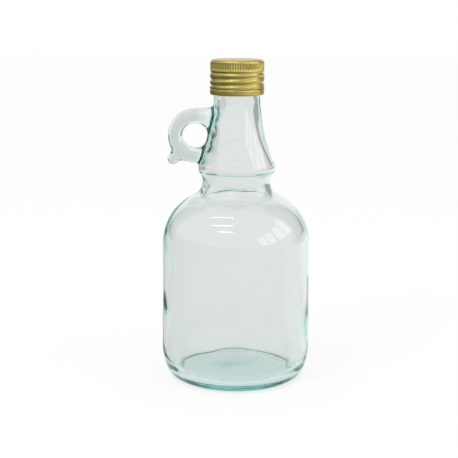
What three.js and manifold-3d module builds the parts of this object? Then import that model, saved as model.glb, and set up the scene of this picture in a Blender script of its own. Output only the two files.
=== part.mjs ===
// A half-litre clear glass jug with a finger ring on its neck, closed by a roll-on metal screw cap.
// Millimetres, +Z up. The jug's axis is Z and it stands on Z = 0. The finger ring points to -X.

import * as THREE from "three";
import { mergeVertices } from "three/addons/utils/BufferGeometryUtils.js";
import Module from "manifold-3d";

const wasm = await Module();
wasm.setup();

// ---------------------------------------------------------------- driving dimensions

const AROUND = 40; // facets round the jug's axis
const TURN = 2 * Math.PI;

// Body of the jug
const BODY_R = 43.6; // label panel
const BODY_WALL = 3.3;
const FLOOR = 5; // glass in the middle of the base
const CORNER_FLOOR = 4.4; // glass under the lower corner of the cavity
const CORNER_REACH = 11; // how far that corner comes in
const CORNER_OVER = 2; // and how far above the rounded heel it starts
const PUSH_UP = 5; // height of the hollow under the base
const BEARING_W = 3.4; // width of the ring it stands on
const HEEL_REACH = 7.6; // how far the rounded heel comes in
const HEEL_H = 18; // and how high it goes
const HEEL_PROUD = 0.55; // contact band above the heel, which takes the knocks on a filling line
const BAND_TOP = 30; // top of the contact band
const PANEL_START = 55; // where the contact band has faded into the label panel
const SHOULDER_Z = 81; // top of the label panel
const SHOULDER_ARC = 31;

// Neck
const PINCH_R = 20.05; // narrowest place above the shoulder
const PINCH_ARC = 9.95; // hollow between shoulder and pinch
const BEAD_R = 22.6; // round bead above the pinch
const BEAD_UNDER_ARC = 5; // round of the bead's lower half
const BEAD_OVER_ARC = 10; // round of its upper half
const BEAD_HOLLOW_ARC = 7; // hollow between pinch and bead
const BELL_H = 43.6; // from the bead's middle to the top of the bell-shaped neck

// Finish: the threaded top of the glass
const BARREL_R = 14.2;
const FINISH_WALL = 4.45; // from the barrel in to the bore
const NECK_STEP = 0.55; // how far the neck lies inside the barrel
const LOCK_UP = 1.9; // from the top of the bell to the middle of the lock ring
const LOCK_HALF = 1.1; // half the height of that ring, which holds the tamper band down
const RIDGE = 1; // how far lock ring and thread stand out of the barrel
const THREAD_GAP = 2.7; // from the lock ring up to the lowest thread
const THREAD_HALF = 1; // half the width of the thread's foot
const THREAD_TOP_DEG = 180; // where the thread's highest point is round the axis
const THREAD_TURNS = 1.6;
const PITCH = 3.5;
const LIP_UP = 7.3; // from the thread's highest point to the lip
const LIP_ROUND = 1;

// Finger ring
const HOLE_R = 7.4;
const HOLE_CLEAR = 0.2; // between the hole and the neck's wall
const BAR_R = 4.325;
const RING_DOWN = 24.5; // from the top of the bell to the ring's centre
const WEB = 2.6; // thin glass that rounds off the hole beside the neck
const TAIL_DEG = 226.5; // direction of the curled tail, from +X towards +Z
const TAIL_OUT = 3.2; // from the ring's outside to the middle of the knob
const TAIL_R = 3.1;

// Level planes that part the glass into simple regions
const BASE_PART = 1; // above the floor
const BODY_PART = 4; // above the label panel
const SHOULDER_PART = 17; // below the pinch
const WAIST_PART = 5.5; // above the bead's middle

// Cap
const SHEET = 0.25; // aluminium
const FIT = 0.3; // clearance between the metal, the liner and the glass
const CROWN_IN = 0.15; // how far the grip ridges of the crown lie inside the skirt's ridges
const GRIP_DOWN = 6.4; // from the cap's top to the end of the grip
const CAP_CORNER = 2.2;
const GROOVE_DEPTH = 0.5; // groove that holds the liner up
const GROOVE_DOWN = 7.5;
const SKIRT_DOWN = 8.6; // where the rolled skirt starts
const ROLL_DEPTH = 0.7; // how far the skirt is rolled in between the glass threads
const ROLL_HALF = 1.3;
const SLIT_UP = 1.65; // from the middle of the lock ring to the middle of the slit
const SLIT = 0.7;
const BRIDGE_PAIRS = 4; // bridges across the slit, in opposite pairs
const BRIDGE_W = 1.2;
const BRIDGE_ROOT = 0.2; // how far a bridge half runs into its sheet
const BRIDGE_PHASE_DEG = -2.5;
const BAND_DOWN = 2.3; // from the middle of the lock ring to the cap's lower edge
const BAND_TUCK = 1.1; // how far the band's lower edge is turned in
const BAND_CORNER = 0.8;

// Liner
const FOAM = 1.3;
const FILM = 0.1;

// ---------------------------------------------------------------- derived places

// The neck's arcs touch each other, which sets the height of each centre.
const HEEL_R = BODY_R + HEEL_PROUD;
const SHOULDER_R = BODY_R - SHOULDER_ARC; // centre of the shoulder's arc
const PINCH_CENTRE = PINCH_R + PINCH_ARC;
const PINCH_Z = SHOULDER_Z
  + Math.sqrt((SHOULDER_ARC + PINCH_ARC) ** 2 - (PINCH_CENTRE - SHOULDER_R) ** 2);
const BEAD_HOLLOW_CENTRE = PINCH_R + BEAD_HOLLOW_ARC;
const BEAD_UNDER_CENTRE = BEAD_R - BEAD_UNDER_ARC;
const BEAD_OVER_CENTRE = BEAD_R - BEAD_OVER_ARC;
const BEAD_Z = PINCH_Z
  + Math.sqrt((BEAD_HOLLOW_ARC + BEAD_UNDER_ARC) ** 2 - (BEAD_HOLLOW_CENTRE - BEAD_UNDER_CENTRE) ** 2);
const NECK_Z = BEAD_Z + BELL_H;
const NECK_R = BARREL_R - NECK_STEP;
const BORE_R = BARREL_R - FINISH_WALL;
const LOCK_Z = NECK_Z + LOCK_UP;
const THREAD_Z = LOCK_Z + THREAD_GAP + PITCH * THREAD_TURNS; // its highest point
const THREAD_R = BARREL_R + RIDGE;
const GLASS_H = THREAD_Z + LIP_UP;
const ROW = PITCH / 6; // spacing of the rows that carry a thread

const FLOOR_Z = PUSH_UP + FLOOR;
const BASE_TOP = FLOOR_Z + BASE_PART;
const BODY_TOP = SHOULDER_Z + BODY_PART;
const SHOULDER_TOP = PINCH_Z - SHOULDER_PART;
const WAIST_TOP = BEAD_Z + WAIST_PART;

const RING_R = HOLE_R + 2 * BAR_R;
const RING_MIDDLE = HOLE_R + BAR_R;
const RING_Z = NECK_Z - RING_DOWN;
const RING_X = -(bellRadius(RING_Z) + HOLE_CLEAR + HOLE_R);

const SKIRT_R = THREAD_R + FIT + SHEET;
const CROWN_R = SKIRT_R - CROWN_IN;
const CAP_TOP = GLASS_H + FIT + FOAM + 2 * FILM + FIT + SHEET;
const SHELL_BOTTOM = LOCK_Z + SLIT_UP + SLIT / 2;
const BAND_TOP_Z = LOCK_Z + SLIT_UP - SLIT / 2;
const CAP_BOTTOM = LOCK_Z - BAND_DOWN;
const BRIDGE_HALF = (SLIT - FIT) / 2; // height of each bridge half, with a gap between the two

const LINER_R = BARREL_R; // covers the lip
const FILM_Z = GLASS_H + FIT;
const FOAM_Z = FILM_Z + FILM;
const BACKING_Z = FOAM_Z + FOAM;

// ---------------------------------------------------------------- helpers

const radians = (degrees) => (degrees * Math.PI) / 180;

// Points on an ellipse arc about (r, z), from one angle to another, both ends included.
function arc(r, z, reachR, reachZ, fromDeg, toDeg, steps) {
  return Array.from({ length: steps + 1 }, (_, i) => {
    const a = radians(fromDeg + ((toDeg - fromDeg) * i) / steps);
    return [r + reachR * Math.cos(a), z + reachZ * Math.sin(a)];
  });
}

// Points straight from one height to another, no further apart than step, ends left out.
function rows(r, fromZ, toZ, step) {
  const count = Math.ceil(Math.abs(toZ - fromZ) / step);
  return Array.from({ length: count - 1 }, (_, i) => [r, fromZ + ((toZ - fromZ) * (i + 1)) / count]);
}

const degreesTo = (dr, dz) => (Math.atan2(dz, dr) * 180) / Math.PI;

// A closed body turned about Z from [radius, height] points. reshape gives a new radius for
// a point's angle, height and radius.
function turned(points, reshape = (angle, z, r) => r) {
  const geometry = new THREE.LatheGeometry(points.map(([r, z]) => new THREE.Vector2(r, z)), AROUND);
  geometry.rotateX(Math.PI / 2);
  const at = geometry.attributes.position;
  for (let i = 0; i < at.count; i += 1) {
    const x = at.getX(i);
    const y = at.getY(i);
    const r = Math.hypot(x, y);
    if (r > 0.001) {
      const scale = reshape(Math.atan2(y, x), at.getZ(i), r) / r;
      at.setXY(i, x * scale, y * scale);
    }
  }
  return geometry;
}

// A three.js geometry as a manifold-3d solid, and back.
function asSolid(geometry) {
  const bare = geometry.clone();
  bare.deleteAttribute("normal");
  bare.deleteAttribute("uv");
  const merged = mergeVertices(bare, 1e-4);
  const index = merged.index.array;
  const kept = [];
  for (let i = 0; i < index.length; i += 3) {
    const [a, b, c] = [index[i], index[i + 1], index[i + 2]];
    if (a !== b && b !== c && c !== a) kept.push(a, b, c);
  }
  return new wasm.Manifold(new wasm.Mesh({
    numProp: 3,
    vertProperties: new Float32Array(merged.attributes.position.array),
    triVerts: new Uint32Array(kept),
  }));
}

function asGeometry(solid) {
  const mesh = solid.getMesh();
  const geometry = new THREE.BufferGeometry();
  geometry.setAttribute("position", new THREE.BufferAttribute(mesh.vertProperties, 3));
  geometry.setIndex(new THREE.BufferAttribute(mesh.triVerts, 1));
  geometry.computeVertexNormals();
  return geometry;
}

// How far into a helical ridge a place is: 1 on its middle line, 0 outside it. The middle line
// follows the thread, which is at THREAD_Z where the angle is THREAD_TOP_DEG and falls by PITCH
// for every turn down from there, and it stops at topDeg and so many turns below.
function helixShare(angle, z, topDeg, turns, half) {
  const fadeDeg = 25;
  const rise = PITCH / 360;
  const first = THREAD_Z + (topDeg - THREAD_TOP_DEG) * rise;
  let share = 0;
  for (let lap = -4; lap <= 4; lap += 1) {
    const past = (angle * 180) / Math.PI + 360 * lap - topDeg;
    const fromEnd = Math.min(-past, past + 360 * turns);
    const away = Math.abs(z - first - past * rise) / half;
    if (fromEnd > 0 && away < 1) {
      const round = Math.cos((away * Math.PI) / 2) ** 2;
      share = Math.max(share, round * Math.min(1, fromEnd / fadeDeg));
    }
  }
  return share;
}

// ---------------------------------------------------------------- the glass

// Radius of the long hollow arc that is upright at (topR, NECK_Z) and touches a bead's round.
function bellArc(topR, round) {
  const over = BEAD_OVER_CENTRE;
  return ((topR - over) ** 2 + BELL_H ** 2 - round ** 2) / (2 * (round - topR + over));
}

// Outside radius of the bell at a height.
function bellRadius(z) {
  const bell = bellArc(NECK_R, BEAD_OVER_ARC);
  return NECK_R + bell - Math.sqrt(bell ** 2 - (NECK_Z - z) ** 2);
}

// The arcs from the shoulder to the top of the bell, moved inwards by inset.
function neckOutline(inset, topR) {
  const shoulderEnd = degreesTo(PINCH_CENTRE - SHOULDER_R, PINCH_Z - SHOULDER_Z);
  const beadMeet = degreesTo(BEAD_UNDER_CENTRE - BEAD_HOLLOW_CENTRE, BEAD_Z - PINCH_Z);
  const bell = bellArc(topR, BEAD_OVER_ARC - inset);
  const bellMeet = degreesTo(topR + bell - BEAD_OVER_CENTRE, BELL_H);
  const round = (centre, z, radius, from, to, steps) => arc(centre, z, radius, radius, from, to, steps);
  return [
    ...round(SHOULDER_R, SHOULDER_Z, SHOULDER_ARC - inset, 0, shoulderEnd, 8),
    ...round(PINCH_CENTRE, PINCH_Z, PINCH_ARC + inset, shoulderEnd + 180, 180, 3).slice(1),
    ...round(BEAD_HOLLOW_CENTRE, PINCH_Z, BEAD_HOLLOW_ARC + inset, 180, beadMeet, 2).slice(1),
    ...round(BEAD_UNDER_CENTRE, BEAD_Z, BEAD_UNDER_ARC - inset, beadMeet - 180, 0, 2).slice(1),
    ...round(BEAD_OVER_CENTRE, BEAD_Z, BEAD_OVER_ARC - inset, 0, bellMeet, 2).slice(1),
    ...round(topR + bell, NECK_Z, bell, bellMeet + 180, 180, 5).slice(1),
  ];
}

function glassOutside() {
  const bearingOut = HEEL_R - HEEL_REACH;
  const bearingIn = bearingOut - BEARING_W;
  const pushUp = Array.from({ length: 7 }, (_, i) => {
    const share = i / 6;
    return [bearingIn * share, PUSH_UP * Math.cos((share * Math.PI) / 2) ** 2];
  });
  const points = [
    ...pushUp,
    ...arc(bearingOut, HEEL_H, HEEL_REACH, HEEL_H, -90, 0, 7),
    [HEEL_R, BAND_TOP],
    [BODY_R, PANEL_START],
    ...neckOutline(0, NECK_R),
    ...arc(NECK_R, LOCK_Z, THREAD_R - NECK_R, LOCK_HALF, -90, 0, 2),
    ...arc(BARREL_R, LOCK_Z, RIDGE, LOCK_HALF, 0, 90, 2).slice(1),
    ...rows(BARREL_R, LOCK_Z + LOCK_HALF, THREAD_Z + 2 * THREAD_HALF, ROW),
    ...arc(BARREL_R - LIP_ROUND, GLASS_H - LIP_ROUND, LIP_ROUND, LIP_ROUND, 0, 90, 2),
    [0, GLASS_H],
  ];
  return turned(points, (angle, z, r) => {
    if (z <= LOCK_Z + LOCK_HALF || z > GLASS_H - LIP_ROUND) return r;
    return r + RIDGE * helixShare(angle, z, THREAD_TOP_DEG, THREAD_TURNS, THREAD_HALF);
  });
}

// The space inside: floor, body, neck and bore, carried on above the lip.
function glassInside() {
  const inner = BODY_R - BODY_WALL;
  const cornerTop = HEEL_H + CORNER_OVER;
  const domeR = inner - CORNER_REACH;
  const dome = Array.from({ length: 5 }, (_, i) => {
    const share = i / 4;
    const rise = Math.cos((share * Math.PI) / 2) ** 2;
    return [domeR * share, CORNER_FLOOR + (FLOOR_Z - CORNER_FLOOR) * rise];
  });
  const mouth = BORE_R + LIP_ROUND / 2;
  return turned([
    ...dome,
    ...arc(domeR, cornerTop, CORNER_REACH, cornerTop - CORNER_FLOOR, -90, 0, 7).slice(1),
    ...neckOutline(BODY_WALL, BORE_R),
    [BORE_R, GLASS_H - LIP_ROUND / 2],
    [mouth, GLASS_H],
    [mouth, GLASS_H + 1],
    [0, GLASS_H + 1],
  ]);
}

// The finger ring: a round bar that leaves the neck, goes round the hole and comes back to it.
const INTO_NECK = BODY_WALL / 2; // how far its arms and web are let into the neck's wall

function ringBar() {
  const top = RING_Z + RING_MIDDLE;
  const bottom = RING_Z - RING_MIDDLE;
  const topX = -bellRadius(top) + INTO_NECK + BAR_R / 4;
  const bottomX = -bellRadius(bottom) + INTO_NECK + BAR_R / 4;
  const places = [
    [topX, top],
    [(topX + RING_X) / 2, top],
    ...arc(RING_X, RING_Z, RING_MIDDLE, RING_MIDDLE, 90, 270, 12),
    [(bottomX + RING_X) / 2, bottom],
    [bottomX, bottom],
  ];
  const path = new THREE.CatmullRomCurve3(places.map(([x, z]) => new THREE.Vector3(x, 0, z)));
  const section = new THREE.Shape().absarc(0, 0, BAR_R, 0, TURN, false);
  return new THREE.ExtrudeGeometry(section, { steps: 26, curveSegments: 7, extrudePath: path });
}

// The curled end of the ring: a short tapered stub with a round knob.
function ringTail() {
  const length = BAR_R + TAIL_OUT;
  const profile = [[0, 0], [0.9 * BAR_R, 0], ...arc(0, length, TAIL_R, TAIL_R, 10, 90, 4)];
  const tail = new THREE.LatheGeometry(profile.map(([r, along]) => new THREE.Vector2(r, along)), 12);
  tail.translate(0, RING_MIDDLE, 0);
  tail.rotateX(Math.PI / 2);
  tail.rotateY(radians(90 - TAIL_DEG));
  return tail.translate(RING_X, 0, RING_Z);
}

// The thin web between the arms, with the hole cut in it.
function ringWeb() {
  const top = RING_Z + RING_MIDDLE;
  const bottom = RING_Z - RING_MIDDLE;
  const corner = (z) => new THREE.Vector2(INTO_NECK - bellRadius(z), z);
  const outline = new THREE.Shape([
    new THREE.Vector2(RING_X, bottom),
    corner(bottom),
    corner(RING_Z),
    corner(top),
    new THREE.Vector2(RING_X, top),
  ]);
  const plate = new THREE.ExtrudeGeometry(outline, { depth: WEB, steps: 1, bevelEnabled: false });
  plate.rotateX(Math.PI / 2);
  plate.translate(0, WEB / 2, 0);
  const hole = new THREE.CylinderGeometry(HOLE_R, HOLE_R, 4 * WEB, 32);
  hole.translate(RING_X, 0, RING_Z);
  return asSolid(plate).subtract(asSolid(hole));
}

// The jug is one piece of glass. It is parted by level planes into regions that touch, each a
// simple tube or dish, so that the space inside them stays open to whatever goes in.
const outside = asSolid(glassOutside());
const hollowed = outside.subtract(asSolid(glassInside()));

function glassBetween(lowZ, highZ) {
  const slab = new THREE.BoxGeometry(3 * HEEL_R, 3 * HEEL_R, highZ - lowZ);
  return asGeometry(hollowed.intersect(asSolid(slab.translate(0, 0, (lowZ + highZ) / 2))));
}

// The ring with its web and tail, up to the outside of the neck.
function fingerRing() {
  const ring = asSolid(ringBar()).add(ringWeb()).add(asSolid(ringTail()));
  return asGeometry(ring.subtract(outside));
}

// ---------------------------------------------------------------- the cap

// The same outline one sheet further in, as a drawn and rolled metal shell has.
function sheetProfile(outer) {
  const inner = outer.map(([r, z], i) => {
    const before = outer[Math.max(i - 1, 0)];
    const after = outer[Math.min(i + 1, outer.length - 1)];
    const run = Math.hypot(after[0] - before[0], after[1] - before[1]);
    const inwardR = (after[1] - before[1]) / run;
    const inwardZ = -(after[0] - before[0]) / run;
    return [Math.max(r + SHEET * inwardR, 0), z + SHEET * inwardZ];
  });
  return [...outer, ...inner.reverse()].reverse();
}

// The halves of the little bridges that join shell and band, which tear when the cap is opened.
// Each half is a piece of ring on the skirt's own facets, from one height to another.
function bridgeHalves(lowZ, highZ) {
  const ring = asSolid(turned([
    [SKIRT_R - SHEET, lowZ], [SKIRT_R, lowZ], [SKIRT_R, highZ], [SKIRT_R - SHEET, highZ],
    [SKIRT_R - SHEET, lowZ],
  ]));
  const bars = Array.from({ length: BRIDGE_PAIRS }, (_, i) => {
    const bar = new THREE.BoxGeometry(3 * SKIRT_R, BRIDGE_W, 3 * (highZ - lowZ));
    bar.rotateZ(radians(BRIDGE_PHASE_DEG - 90 + (180 * i) / BRIDGE_PAIRS));
    return asSolid(bar.translate(0, 0, (lowZ + highZ) / 2));
  });
  return ring.intersect(bars.reduce((all, bar) => all.add(bar)));
}

function capShell() {
  const skirtTop = CAP_TOP - SKIRT_DOWN;
  const outer = [
    [0, CAP_TOP],
    ...arc(CROWN_R - CAP_CORNER, CAP_TOP - CAP_CORNER, CAP_CORNER, CAP_CORNER, 90, 0, 4),
    [CROWN_R, CAP_TOP - GRIP_DOWN],
    [SKIRT_R - GROOVE_DEPTH, CAP_TOP - GROOVE_DOWN],
    [SKIRT_R, skirtTop],
    ...rows(SKIRT_R, skirtTop, SHELL_BOTTOM + ROW, ROW),
    [SKIRT_R, SHELL_BOTTOM],
  ];
  const shell = asSolid(turned(sheetProfile(outer), (angle, z, r) => {
    if (z > skirtTop || z < SHELL_BOTTOM + ROW / 2) return r;
    // rolled in half a pitch below the thread, where the glass leaves room
    const below = z + PITCH / 2;
    return r - ROLL_DEPTH * helixShare(angle, below, THREAD_TOP_DEG + 180, THREAD_TURNS + 0.25, ROLL_HALF);
  }));
  return asGeometry(shell.add(bridgeHalves(SHELL_BOTTOM - BRIDGE_HALF, SHELL_BOTTOM + BRIDGE_ROOT)));
}

function tamperBand() {
  const cornerZ = CAP_BOTTOM + BAND_CORNER;
  const outer = [
    [SKIRT_R, BAND_TOP_Z],
    ...arc(SKIRT_R - BAND_CORNER, cornerZ, BAND_CORNER, BAND_CORNER, 0, -90, 3),
    [SKIRT_R - BAND_TUCK, CAP_BOTTOM],
  ];
  const profile = sheetProfile(outer);
  const band = asSolid(turned([...profile, profile[0]]));
  return asGeometry(band.add(bridgeHalves(BAND_TOP_Z - BRIDGE_ROOT, BAND_TOP_Z + BRIDGE_HALF)));
}

// ---------------------------------------------------------------- the liner

// A disc in the cap's crown, one ply of the wad that seals the lip.
function ply(lowZ, highZ) {
  return turned([[0, lowZ], [LINER_R, lowZ], [LINER_R, highZ], [0, highZ]]);
}

// ---------------------------------------------------------------- the assembly

const glass = new THREE.MeshStandardMaterial({
  color: 0xdfe9e4, roughness: 0.03, metalness: 0, transparent: true, opacity: 0.35,
});
const goldMetal = new THREE.MeshStandardMaterial({ color: 0xb0a050, roughness: 0.28, metalness: 1 });
const foamPlastic = new THREE.MeshStandardMaterial({ color: 0xf0efe9, roughness: 0.8, metalness: 0 });
const filmPlastic = new THREE.MeshStandardMaterial({ color: 0xf7f7f4, roughness: 0.3, metalness: 0 });

function named(name, geometry, material) {
  const mesh = new THREE.Mesh(geometry, material);
  mesh.name = name;
  return mesh;
}

const jug = new THREE.Group();
jug.add(named("glass_base", glassBetween(-1, BASE_TOP), glass));
jug.add(named("glass_body", glassBetween(BASE_TOP, BODY_TOP), glass));
jug.add(named("glass_shoulder", glassBetween(BODY_TOP, SHOULDER_TOP), glass));
jug.add(named("glass_waist", glassBetween(SHOULDER_TOP, WAIST_TOP), glass));
jug.add(named("glass_neck", glassBetween(WAIST_TOP, NECK_Z), glass));
jug.add(named("glass_finish", glassBetween(NECK_Z, CAP_TOP), glass));
jug.add(named("finger_ring", fingerRing(), glass));

const closure = new THREE.Group();
closure.add(named("cap_shell", capShell(), goldMetal));
closure.add(named("tamper_band", tamperBand(), goldMetal));
closure.add(named("liner_sealing_film", ply(FILM_Z, FOAM_Z), filmPlastic));
closure.add(named("liner_foam", ply(FOAM_Z, BACKING_Z), foamPlastic));
closure.add(named("liner_backing_film", ply(BACKING_Z, BACKING_Z + FILM), filmPlastic));

const part = new THREE.Group();
part.add(jug, closure);

export default part;
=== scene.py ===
# %% [markdown]
# # A glass jug with a finger ring and a roll-on screw cap
# The jug is one piece of clear, faintly green glass: a round body, a pinched waist, a bell-shaped
# neck and a solid ring for one finger. A gold-coloured aluminium cap is rolled onto its thread,
# with a tamper band below a slit, and a three-ply liner in its crown seals the lip.
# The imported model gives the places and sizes. This script makes the fine surfaces, the finishes,
# the floor, the light and the camera around it.

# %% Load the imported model
import math

import bpy
import numpy as np
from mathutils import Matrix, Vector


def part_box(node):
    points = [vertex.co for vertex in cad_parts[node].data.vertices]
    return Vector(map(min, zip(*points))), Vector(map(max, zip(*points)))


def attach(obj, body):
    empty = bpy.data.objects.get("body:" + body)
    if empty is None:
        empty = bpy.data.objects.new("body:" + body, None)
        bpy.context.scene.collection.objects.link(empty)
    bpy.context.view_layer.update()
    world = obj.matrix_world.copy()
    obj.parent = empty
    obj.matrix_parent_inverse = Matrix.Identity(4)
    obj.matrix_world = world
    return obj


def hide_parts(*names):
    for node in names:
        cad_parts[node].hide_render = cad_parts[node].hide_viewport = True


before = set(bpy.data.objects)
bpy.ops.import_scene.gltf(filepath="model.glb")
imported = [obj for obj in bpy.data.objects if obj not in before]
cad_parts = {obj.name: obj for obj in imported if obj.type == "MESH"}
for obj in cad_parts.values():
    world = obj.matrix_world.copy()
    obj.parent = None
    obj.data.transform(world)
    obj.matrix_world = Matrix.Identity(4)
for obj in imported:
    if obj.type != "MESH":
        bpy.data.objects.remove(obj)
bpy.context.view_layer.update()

MM = 0.001

# %% [markdown]
# ## Sizes
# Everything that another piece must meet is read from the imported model: the lip, the heel, the
# cap's top, its slit and its lower edge. The rounds between them are the maker's own sizes, nearly
# all the same as the solids'. The slit, the cavity's lower corner and the corners beside the finger
# hole are finer here. Outlines are drawn in millimetres, as a glass mould or a rolling tool would
# be, and turned into metres when a mesh is made.

# %% Read the main heights and radii


def reach(node):
    """Outer radius, lowest and highest point of a solid, in millimetres."""
    low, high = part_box(node)
    return high.x / MM, low.z / MM, high.z / MM


GLASS_NODES = [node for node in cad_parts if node.startswith("glass_")] + ["finger_ring"]
HEEL_R = reach("glass_body")[0]
LIP_Z = reach("glass_finish")[2]
_, SHELL_Z, CAP_Z = reach("cap_shell")
SKIRT_R, CAP_EDGE_Z, BAND_TOP = reach("tamper_band")
GRIP_R = SKIRT_R - 0.15  # the crown is a little narrower than the skirt's ridges
BRIDGE_STUB = 0.2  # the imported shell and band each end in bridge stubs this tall
SLIT_LOW = BAND_TOP - BRIDGE_STUB
SLIT = 0.25
SLIT_HIGH = SLIT_LOW + SLIT
print(f"lip {LIP_Z:.2f} mm up, cap top {CAP_Z:.2f}, heel radius {HEEL_R:.2f}, grip radius {GRIP_R:.2f}")

# %% [markdown]
# ## Turning an outline
# Glass from a mould, spun metal and cut discs are all bodies of revolution, so one helper makes
# them: it turns a list of (radius, height) points about the upright axis. Blender's Screw and Spin
# tools do the same, but plain mesh code lets a second rule push the radius in or out by angle,
# which the threads need. An outline runs from the axis at the bottom, up the outside, back to the
# axis at the top, so that its faces point outwards.

# %% Outline and turning helpers


def arc(r, z, reach_r, reach_z, start, end, steps):
    """Points on an ellipse arc about (r, z), ends included, angles in degrees."""
    turn = np.radians(np.linspace(start, end, steps + 1))
    return np.stack([r + reach_r * np.cos(turn), z + reach_z * np.sin(turn)], 1)


def straight(start, end, steps):
    """Evenly spaced points from one (radius, height) to another, ends included."""
    return np.linspace(start, end, steps + 1)


def chained(*stretches):
    """Stretches end to end, without the points that they share."""
    points = np.concatenate(stretches)
    apart = np.linalg.norm(np.diff(points, axis=0), axis=1) > 1e-4
    return points[np.concatenate([[True], apart])]


def new_object(name, vertices, faces):
    """A mesh object at the origin from points in millimetres."""
    mesh = bpy.data.meshes.new(name)
    mesh.from_pydata((np.asarray(vertices) * MM).tolist(), [], faces)
    mesh.validate()
    made = bpy.data.objects.new(name, mesh)
    bpy.context.scene.collection.objects.link(made)
    return made


def revolve(name, outline, around, reshape=None):
    """A closed mesh turned about Z. reshape(angle, height, radius) gives changed radii."""
    closed = np.allclose(outline[0], outline[-1])
    rings = outline[:-1] if closed else outline
    turn = np.linspace(0, 2 * math.pi, around, endpoint=False)
    vertices, rows = [], []
    for r, z in rings:
        start = len(vertices)
        if r < 1e-6:
            vertices.append((0.0, 0.0, z))
            rows.append([start] * around)
            continue
        radius = np.full(around, r)
        if reshape is not None:
            radius = reshape(turn, z, radius)
        vertices.extend(zip(radius * np.cos(turn), radius * np.sin(turn), [z] * around))
        rows.append(list(range(start, start + around)))
    pairs = list(zip(rows, rows[1:] + rows[:1])) if closed else list(zip(rows, rows[1:]))
    faces = []
    for low, high in pairs:
        for i in range(around):
            j = (i + 1) % around
            corners = [low[i], low[j], high[j], high[i]]
            faces.append(list(dict.fromkeys(corners)))
    return new_object(name, vertices, faces)


def smooth(made, sharp_degrees=50):
    """Smooth shading, with edges sharper than the angle left crisp."""
    made.data.shade_smooth()
    made.data.set_sharp_from_angle(angle=math.radians(sharp_degrees))
    return made


def settle(made):
    """Applies an object's modifiers to its own mesh."""
    graph = bpy.context.evaluated_depsgraph_get()
    result = bpy.data.meshes.new_from_object(made.evaluated_get(graph))
    made.modifiers.clear()
    made.data = result
    return made


def combine(target, tool, operation):
    """Joins a closed mesh to another or cuts it away, and removes the tool."""
    step = target.modifiers.new("combine", "BOOLEAN")
    step.operation = operation
    step.solver = "MANIFOLD"
    step.object = tool
    settle(target)
    bpy.data.objects.remove(tool)
    return target


# %% [markdown]
# ## The camera, the floor and the light
# The jug stands on a pale floor in a pale room, seen from a little above the cap's height and from
# a little over three jug heights away. Glass has no look of its own: it shows what stands around it.
# So the room matters as much as the material, and it is set up before the glass is made.

# %% Camera
FAR = 625.6  # from the jug's axis to the lens
EYE = 220.5  # height of the lens
ASIDE = -4.3  # how far right of the jug's axis the lens is
DOWN = 11.894  # degrees that the camera looks down
LEAN = 0.3  # degrees of roll
FOCAL = 84.3

camera = bpy.data.objects.new("camera", bpy.data.cameras.new("camera"))
camera.data.lens = FOCAL
camera.data.sensor_width = 36
camera.data.clip_start = 0.05
camera.location = (ASIDE * MM, -FAR * MM, EYE * MM)
camera.rotation_mode = "ZXY"
camera.rotation_euler = (math.radians(90 - DOWN), 0, math.radians(LEAN))
bpy.context.scene.collection.objects.link(camera)
bpy.context.scene.camera = camera
bpy.context.scene.view_settings.view_transform = "Standard"
bpy.context.scene.cycles.max_bounces = 64
bpy.context.scene.cycles.transmission_bounces = 64
bpy.context.scene.cycles.glossy_bounces = 48
print(f"camera {FAR:.0f} mm away, {EYE:.0f} mm up, looking {DOWN} degrees down")

# %% [markdown]
# Materials, the room and the repeating shapes are node trees. Small helpers keep their code short:
# a node is added with its values and links in one call, written in the order in which they flow.

# %% Node helpers


def add_node(tree, kind, **values):
    """A node of a kind. Names set its properties and inputs, and a socket given is linked."""
    node = tree.nodes.new(kind)
    for key, value in values.items():
        if hasattr(node, key):
            setattr(node, key, value)
        elif isinstance(value, bpy.types.NodeSocket):
            tree.links.new(value, node.inputs[key.replace("_", " ")])
        else:
            node.inputs[key.replace("_", " ")].default_value = value
    return node


def calculate(tree, operation, *values, clamp=False):
    """A Math node fed with sockets or numbers. Returns its result."""
    node = add_node(tree, "ShaderNodeMath", operation=operation, use_clamp=clamp)
    for slot, value in zip(node.inputs, values):
        if isinstance(value, (int, float)):
            slot.default_value = value
        else:
            tree.links.new(value, slot)
    return node.outputs[0]


def mix_shaders(tree, share, first, second):
    """Two shaders mixed by a share. Returns the result."""
    mix = add_node(tree, "ShaderNodeMixShader", Fac=share)
    tree.links.new(first.outputs[0], mix.inputs[1])
    tree.links.new(second.outputs[0], mix.inputs[2])
    return mix.outputs[0]


def new_material(name):
    """An empty node material and its tree."""
    material = bpy.data.materials.new(name)
    material.use_nodes = True
    material.node_tree.nodes.clear()
    return material, material.node_tree


# %% [markdown]
# The room is a plain white world. Light Path lets the lens, the metal and the glass see pure
# white, while the light that falls on the floor stays a little weaker and keeps a shadow. A
# painted studio would also work, but costs more geometry for the same white.

# %% World
ROOM_LIGHT = 0.9


def white_to_lens(tree, seen=1.0, through_glass=1.0):
    """A socket that says how white a thing looks to the lens and to metal, or through glass."""
    path = add_node(tree, "ShaderNodeLightPath").outputs
    either = calculate(tree, "MAXIMUM", path["Is Camera Ray"], path["Is Glossy Ray"])
    direct = calculate(tree, "MULTIPLY", either, seen)
    return calculate(tree, "MULTIPLY_ADD", path["Is Transmission Ray"], through_glass, direct)


def make_world():
    """Even light from all round, and plain white wherever the lens, metal or glass sees it."""
    world = bpy.data.worlds.new("room")
    bpy.context.scene.world = world
    world.use_nodes = True
    tree = world.node_tree
    tree.nodes.clear()
    dim = add_node(tree, "ShaderNodeBackground", Color=(1, 1, 1, 1), Strength=ROOM_LIGHT)
    white = add_node(tree, "ShaderNodeBackground", Color=(1, 1, 1, 1), Strength=1.0)
    add_node(tree, "ShaderNodeOutputWorld", Surface=mix_shaders(tree, white_to_lens(tree), dim, white))


make_world()

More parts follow.
